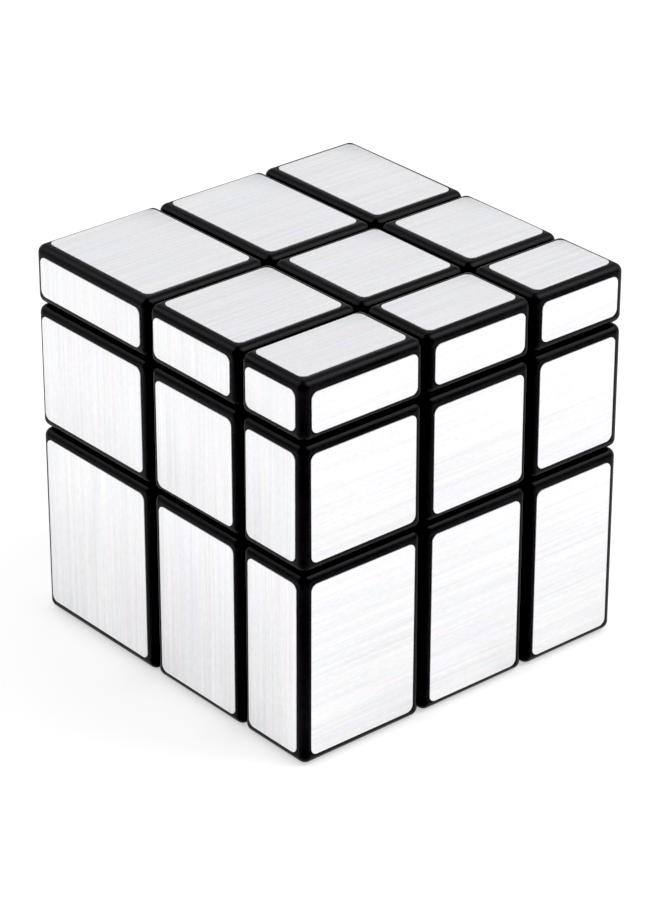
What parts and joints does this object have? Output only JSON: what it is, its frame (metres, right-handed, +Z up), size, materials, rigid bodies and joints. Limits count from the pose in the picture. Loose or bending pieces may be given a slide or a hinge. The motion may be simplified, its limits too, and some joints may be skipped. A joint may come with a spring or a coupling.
{
  "type": "mirror block cube puzzle",
  "caption": "Cube-shaped mechanical puzzle of black blocks of unequal height, width and depth with brushed silver foils; its outer layers turn about a hidden core.",
  "frame": {"origin": "centre of the underside of the solved cube, on the resting plane", "axes": "+Z up through the thinnest layer (9 mm), +X right through the 13 mm layer, -Y front through the 21 mm layer"},
  "size_m": [0.057, 0.057, 0.057],
  "materials": {
    "black_plastic": "satin-gloss moulded black",
    "silver_foil": "brushed metallised film",
    "core_plastic": "natural white moulded",
    "zinc_steel": "bright zinc-plated",
    "spring_steel": "drawn wire"
  },
  "bodies": {
    "core": {"core_spider": "core_plastic", "centre_screws": "zinc_steel", "centre_washers": "zinc_steel", "centre_springs": "spring_steel"},
    "corner_down_front_left": {"corner_down_front_left": "black_plastic", "corner_down_front_left_foils": "silver_foil"},
    "edge_front_left": {"edge_front_left": "black_plastic", "edge_front_left_foils": "silver_foil"},
    "corner_up_front_left": {"corner_up_front_left": "black_plastic", "corner_up_front_left_foils": "silver_foil"},
    "edge_down_left": {"edge_down_left": "black_plastic", "edge_down_left_foils": "silver_foil"},
    "centre_left": {"centre_left": "black_plastic", "centre_left_foils": "silver_foil"},
    "edge_up_left": {"edge_up_left": "black_plastic", "edge_up_left_foils": "silver_foil"},
    "corner_down_back_left": {"corner_down_back_left": "black_plastic", "corner_down_back_left_foils": "silver_foil"},
    "edge_back_left": {"edge_back_left": "black_plastic", "edge_back_left_foils": "silver_foil"},
    "corner_up_back_left": {"corner_up_back_left": "black_plastic", "corner_up_back_left_foils": "silver_foil"},
    "edge_down_front": {"edge_down_front": "black_plastic", "edge_down_front_foils": "silver_foil"},
    "centre_front": {"centre_front": "black_plastic", "centre_front_foils": "silver_foil"},
    "edge_up_front": {"edge_up_front": "black_plastic", "edge_up_front_foils": "silver_foil"},
    "centre_down": {"centre_down": "black_plastic", "centre_down_foils": "silver_foil"},
    "centre_up": {"centre_up": "black_plastic", "centre_up_foils": "silver_foil"},
    "edge_down_back": {"edge_down_back": "black_plastic", "edge_down_back_foils": "silver_foil"},
    "centre_back": {"centre_back": "black_plastic", "centre_back_foils": "silver_foil"},
    "edge_up_back": {"edge_up_back": "black_plastic", "edge_up_back_foils": "silver_foil"},
    "corner_down_front_right": {"corner_down_front_right": "black_plastic", "corner_down_front_right_foils": "silver_foil"},
    "edge_front_right": {"edge_front_right": "black_plastic", "edge_front_right_foils": "silver_foil"},
    "corner_up_front_right": {"corner_up_front_right": "black_plastic", "corner_up_front_right_foils": "silver_foil"},
    "edge_down_right": {"edge_down_right": "black_plastic", "edge_down_right_foils": "silver_foil"},
    "centre_right": {"centre_right": "black_plastic", "centre_right_foils": "silver_foil"},
    "edge_up_right": {"edge_up_right": "black_plastic", "edge_up_right_foils": "silver_foil"},
    "corner_down_back_right": {"corner_down_back_right": "black_plastic", "corner_down_back_right_foils": "silver_foil"},
    "edge_back_right": {"edge_back_right": "black_plastic", "edge_back_right_foils": "silver_foil"},
    "corner_up_back_right": {"corner_up_back_right": "black_plastic", "corner_up_back_right_foils": "silver_foil"}
  },
  "joints": [
    {"name": "left_turn", "type": "hinge", "parent": "core", "child": "centre_left", "pos_m": [0.006, 0.002, 0.0385], "axis": [1, 0, 0], "continuous": true},
    {"name": "right_turn", "type": "hinge", "parent": "core", "child": "centre_right", "pos_m": [0.006, 0.002, 0.0385], "axis": [1, 0, 0], "continuous": true},
    {"name": "front_turn", "type": "hinge", "parent": "core", "child": "centre_front", "pos_m": [0.006, 0.002, 0.0385], "axis": [0, 1, 0], "continuous": true},
    {"name": "back_turn", "type": "hinge", "parent": "core", "child": "centre_back", "pos_m": [0.006, 0.002, 0.0385], "axis": [0, 1, 0], "continuous": true},
    {"name": "down_turn", "type": "hinge", "parent": "core", "child": "centre_down", "pos_m": [0.006, 0.002, 0.0385], "axis": [0, 0, 1], "continuous": true},
    {"name": "up_turn", "type": "hinge", "parent": "core", "child": "centre_up", "pos_m": [0.006, 0.002, 0.0385], "axis": [0, 0, 1], "continuous": true},
    {"name": "corner_down_front_left_follows_left", "type": "hinge", "parent": "edge_down_front", "child": "corner_down_front_left", "pos_m": [0.006, 0.002, 0.0385], "axis": [1, 0, 0], "continuous": true},
    {"name": "edge_front_left_follows_left", "type": "hinge", "parent": "centre_front", "child": "edge_front_left", "pos_m": [0.006, 0.002, 0.0385], "axis": [1, 0, 0], "continuous": true},
    {"name": "corner_up_front_left_follows_left", "type": "hinge", "parent": "edge_up_front", "child": "corner_up_front_left", "pos_m": [0.006, 0.002, 0.0385], "axis": [1, 0, 0], "continuous": true},
    {"name": "edge_down_left_follows_down", "type": "hinge", "parent": "centre_left", "child": "edge_down_left", "pos_m": [0.006, 0.002, 0.0385], "axis": [0, 0, 1], "continuous": true},
    {"name": "edge_up_left_follows_up", "type": "hinge", "parent": "centre_left", "child": "edge_up_left", "pos_m": [0.006, 0.002, 0.0385], "axis": [0, 0, 1], "continuous": true},
    {"name": "corner_down_back_left_follows_left", "type": "hinge", "parent": "edge_down_back", "child": "corner_down_back_left", "pos_m": [0.006, 0.002, 0.0385], "axis": [1, 0, 0], "continuous": true},
    {"name": "edge_back_left_follows_left", "type": "hinge", "parent": "centre_back", "child": "edge_back_left", "pos_m": [0.006, 0.002, 0.0385], "axis": [1, 0, 0], "continuous": true},
    {"name": "corner_up_back_left_follows_left", "type": "hinge", "parent": "edge_up_back", "child": "corner_up_back_left", "pos_m": [0.006, 0.002, 0.0385], "axis": [1, 0, 0], "continuous": true},
    {"name": "edge_down_front_follows_front", "type": "hinge", "parent": "centre_down", "child": "edge_down_front", "pos_m": [0.006, 0.002, 0.0385], "axis": [0, 1, 0], "continuous": true},
    {"name": "edge_up_front_follows_front", "type": "hinge", "parent": "centre_up", "child": "edge_up_front", "pos_m": [0.006, 0.002, 0.0385], "axis": [0, 1, 0], "continuous": true},
    {"name": "edge_down_back_follows_back", "type": "hinge", "parent": "centre_down", "child": "edge_down_back", "pos_m": [0.006, 0.002, 0.0385], "axis": [0, 1, 0], "continuous": true},
    {"name": "edge_up_back_follows_back", "type": "hinge", "parent": "centre_up", "child": "edge_up_back", "pos_m": [0.006, 0.002, 0.0385], "axis": [0, 1, 0], "continuous": true},
    {"name": "corner_down_front_right_follows_right", "type": "hinge", "parent": "edge_down_front", "child": "corner_down_front_right", "pos_m": [0.006, 0.002, 0.0385], "axis": [1, 0, 0], "continuous": true},
    {"name": "edge_front_right_follows_right", "type": "hinge", "parent": "centre_front", "child": "edge_front_right", "pos_m": [0.006, 0.002, 0.0385], "axis": [1, 0, 0], "continuous": true},
    {"name": "corner_up_front_right_follows_right", "type": "hinge", "parent": "edge_up_front", "child": "corner_up_front_right", "pos_m": [0.006, 0.002, 0.0385], "axis": [1, 0, 0], "continuous": true},
    {"name": "edge_down_right_follows_down", "type": "hinge", "parent": "centre_right", "child": "edge_down_right", "pos_m": [0.006, 0.002, 0.0385], "axis": [0, 0, 1], "continuous": true},
    {"name": "edge_up_right_follows_up", "type": "hinge", "parent": "centre_right", "child": "edge_up_right", "pos_m": [0.006, 0.002, 0.0385], "axis": [0, 0, 1], "continuous": true},
    {"name": "corner_down_back_right_follows_right", "type": "hinge", "parent": "edge_down_back", "child": "corner_down_back_right", "pos_m": [0.006, 0.002, 0.0385], "axis": [1, 0, 0], "continuous": true},
    {"name": "edge_back_right_follows_right", "type": "hinge", "parent": "centre_back", "child": "edge_back_right", "pos_m": [0.006, 0.002, 0.0385], "axis": [1, 0, 0], "continuous": true},
    {"name": "corner_up_back_right_follows_right", "type": "hinge", "parent": "edge_up_back", "child": "corner_up_back_right", "pos_m": [0.006, 0.002, 0.0385], "axis": [1, 0, 0], "continuous": true}
  ],
  "couplings": [
    {"joint": "corner_down_front_left_follows_left", "follows": "left_turn", "ratio": 1},
    {"joint": "edge_front_left_follows_left", "follows": "left_turn", "ratio": 1},
    {"joint": "corner_up_front_left_follows_left", "follows": "left_turn", "ratio": 1},
    {"joint": "edge_down_left_follows_down", "follows": "down_turn", "ratio": 1},
    {"joint": "edge_up_left_follows_up", "follows": "up_turn", "ratio": 1},
    {"joint": "corner_down_back_left_follows_left", "follows": "left_turn", "ratio": 1},
    {"joint": "edge_back_left_follows_left", "follows": "left_turn", "ratio": 1},
    {"joint": "corner_up_back_left_follows_left", "follows": "left_turn", "ratio": 1},
    {"joint": "edge_down_front_follows_front", "follows": "front_turn", "ratio": 1},
    {"joint": "edge_up_front_follows_front", "follows": "front_turn", "ratio": 1},
    {"joint": "edge_down_back_follows_back", "follows": "back_turn", "ratio": 1},
    {"joint": "edge_up_back_follows_back", "follows": "back_turn", "ratio": 1},
    {"joint": "corner_down_front_right_follows_right", "follows": "right_turn", "ratio": 1},
    {"joint": "edge_front_right_follows_right", "follows": "right_turn", "ratio": 1},
    {"joint": "corner_up_front_right_follows_right", "follows": "right_turn", "ratio": 1},
    {"joint": "edge_down_right_follows_down", "follows": "down_turn", "ratio": 1},
    {"joint": "edge_up_right_follows_up", "follows": "up_turn", "ratio": 1},
    {"joint": "corner_down_back_right_follows_right", "follows": "right_turn", "ratio": 1},
    {"joint": "edge_back_right_follows_right", "follows": "right_turn", "ratio": 1},
    {"joint": "corner_up_back_right_follows_right", "follows": "right_turn", "ratio": 1}
  ]
}
